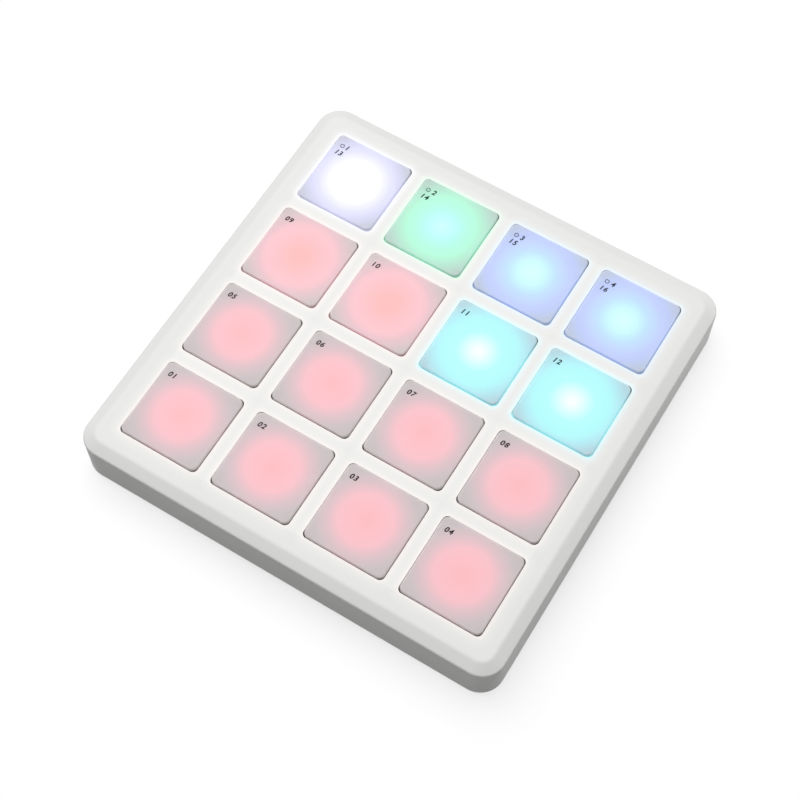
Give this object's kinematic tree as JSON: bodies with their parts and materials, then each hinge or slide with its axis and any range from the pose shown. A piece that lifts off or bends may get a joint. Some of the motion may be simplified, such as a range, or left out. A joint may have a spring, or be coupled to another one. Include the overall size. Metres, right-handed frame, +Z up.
{
  "type": "pad controller",
  "caption": "Flat square desk controller with a grid of back-lit silicone pads that press straight down onto force sensors, in a bevelled white case with a data socket at the back.",
  "frame": {"origin": "on the table under the middle of the case, level with the underside of the feet", "axes": "+Z up, +X to the right along a row of pads, +Y to the back, where the data socket is"},
  "size_m": [0.1606, 0.1606, 0.0213],
  "materials": {
    "case_white": "fine satin moulded plastic",
    "cover_grey": "fine textured moulded plastic",
    "foot_rubber": "matt rubber",
    "screw_steel": "zinc-plated steel",
    "board_green": "solder mask over glass-fibre board",
    "film_black": "matt carbon-filled film",
    "sensor_ink": "printed carbon ink",
    "led_white": "white moulded housing",
    "capacitor_tan": "fired ceramic",
    "chip_black": "moulded epoxy",
    "socket_metal": "nickel-plated steel",
    "tongue_black": "moulded plastic",
    "return_foam": "soft closed-cell foam",
    "pad_red": "translucent milky silicone, lit from below",
    "pad_cyan": "translucent milky silicone, lit from below",
    "pad_violet": "translucent milky silicone, lit from below",
    "pad_green": "translucent milky silicone, lit from below",
    "pad_blue": "translucent milky silicone, lit from below"
  },
  "bodies": {
    "root": {"top_case": "case_white", "bottom_cover": "cover_grey", "rubber_feet": "foot_rubber", "case_screws": "screw_steel", "circuit_board": "board_green", "board_screws": "screw_steel", "sensor_film": "film_black", "sensor_rings": "sensor_ink", "pad_leds": "led_white", "led_capacitors": "capacitor_tan", "microcontroller": "chip_black", "led_drivers": "chip_black", "crystal": "socket_metal", "usb_socket": "socket_metal", "usb_tongue": "tongue_black", "return_ring_01": "return_foam", "return_ring_02": "return_foam", "return_ring_03": "return_foam", "return_ring_04": "return_foam", "return_ring_05": "return_foam", "return_ring_06": "return_foam", "return_ring_07": "return_foam", "return_ring_08": "return_foam", "return_ring_09": "return_foam", "return_ring_10": "return_foam", "return_ring_11": "return_foam", "return_ring_12": "return_foam", "return_ring_13": "return_foam", "return_ring_14": "return_foam", "return_ring_15": "return_foam", "return_ring_16": "return_foam"},
    "pad_01": {"pad_01": "pad_red"},
    "pad_02": {"pad_02": "pad_red"},
    "pad_03": {"pad_03": "pad_red"},
    "pad_04": {"pad_04": "pad_red"},
    "pad_05": {"pad_05": "pad_red"},
    "pad_06": {"pad_06": "pad_red"},
    "pad_07": {"pad_07": "pad_red"},
    "pad_08": {"pad_08": "pad_red"},
    "pad_09": {"pad_09": "pad_red"},
    "pad_10": {"pad_10": "pad_red"},
    "pad_11": {"pad_11": "pad_cyan"},
    "pad_12": {"pad_12": "pad_cyan"},
    "pad_13": {"pad_13": "pad_violet"},
    "pad_14": {"pad_14": "pad_green"},
    "pad_15": {"pad_15": "pad_blue"},
    "pad_16": {"pad_16": "pad_blue"}
  },
  "joints": [
    {"name": "pad_01_press", "type": "slide", "parent": "root", "child": "pad_01", "axis": [0, 0, -1], "range_m": [0, 0.0012], "stiffness_N_per_m": 600, "springref_m": -0.0008, "deforming": ["return_ring_01"]},
    {"name": "pad_02_press", "type": "slide", "parent": "root", "child": "pad_02", "axis": [0, 0, -1], "range_m": [0, 0.0012], "stiffness_N_per_m": 600, "springref_m": -0.0008, "deforming": ["return_ring_02"]},
    {"name": "pad_03_press", "type": "slide", "parent": "root", "child": "pad_03", "axis": [0, 0, -1], "range_m": [0, 0.0012], "stiffness_N_per_m": 600, "springref_m": -0.0008, "deforming": ["return_ring_03"]},
    {"name": "pad_04_press", "type": "slide", "parent": "root", "child": "pad_04", "axis": [0, 0, -1], "range_m": [0, 0.0012], "stiffness_N_per_m": 600, "springref_m": -0.0008, "deforming": ["return_ring_04"]},
    {"name": "pad_05_press", "type": "slide", "parent": "root", "child": "pad_05", "axis": [0, 0, -1], "range_m": [0, 0.0012], "stiffness_N_per_m": 600, "springref_m": -0.0008, "deforming": ["return_ring_05"]},
    {"name": "pad_06_press", "type": "slide", "parent": "root", "child": "pad_06", "axis": [0, 0, -1], "range_m": [0, 0.0012], "stiffness_N_per_m": 600, "springref_m": -0.0008, "deforming": ["return_ring_06"]},
    {"name": "pad_07_press", "type": "slide", "parent": "root", "child": "pad_07", "axis": [0, 0, -1], "range_m": [0, 0.0012], "stiffness_N_per_m": 600, "springref_m": -0.0008, "deforming": ["return_ring_07"]},
    {"name": "pad_08_press", "type": "slide", "parent": "root", "child": "pad_08", "axis": [0, 0, -1], "range_m": [0, 0.0012], "stiffness_N_per_m": 600, "springref_m": -0.0008, "deforming": ["return_ring_08"]},
    {"name": "pad_09_press", "type": "slide", "parent": "root", "child": "pad_09", "axis": [0, 0, -1], "range_m": [0, 0.0012], "stiffness_N_per_m": 600, "springref_m": -0.0008, "deforming": ["return_ring_09"]},
    {"name": "pad_10_press", "type": "slide", "parent": "root", "child": "pad_10", "axis": [0, 0, -1], "range_m": [0, 0.0012], "stiffness_N_per_m": 600, "springref_m": -0.0008, "deforming": ["return_ring_10"]},
    {"name": "pad_11_press", "type": "slide", "parent": "root", "child": "pad_11", "axis": [0, 0, -1], "range_m": [0, 0.0012], "stiffness_N_per_m": 600, "springref_m": -0.0008, "deforming": ["return_ring_11"]},
    {"name": "pad_12_press", "type": "slide", "parent": "root", "child": "pad_12", "axis": [0, 0, -1], "range_m": [0, 0.0012], "stiffness_N_per_m": 600, "springref_m": -0.0008, "deforming": ["return_ring_12"]},
    {"name": "pad_13_press", "type": "slide", "parent": "root", "child": "pad_13", "axis": [0, 0, -1], "range_m": [0, 0.0012], "stiffness_N_per_m": 600, "springref_m": -0.0008, "deforming": ["return_ring_13"]},
    {"name": "pad_14_press", "type": "slide", "parent": "root", "child": "pad_14", "axis": [0, 0, -1], "range_m": [0, 0.0012], "stiffness_N_per_m": 600, "springref_m": -0.0008, "deforming": ["return_ring_14"]},
    {"name": "pad_15_press", "type": "slide", "parent": "root", "child": "pad_15", "axis": [0, 0, -1], "range_m": [0, 0.0012], "stiffness_N_per_m": 600, "springref_m": -0.0008, "deforming": ["return_ring_15"]},
    {"name": "pad_16_press", "type": "slide", "parent": "root", "child": "pad_16", "axis": [0, 0, -1], "range_m": [0, 0.0012], "stiffness_N_per_m": 600, "springref_m": -0.0008, "deforming": ["return_ring_16"]}
  ]
}
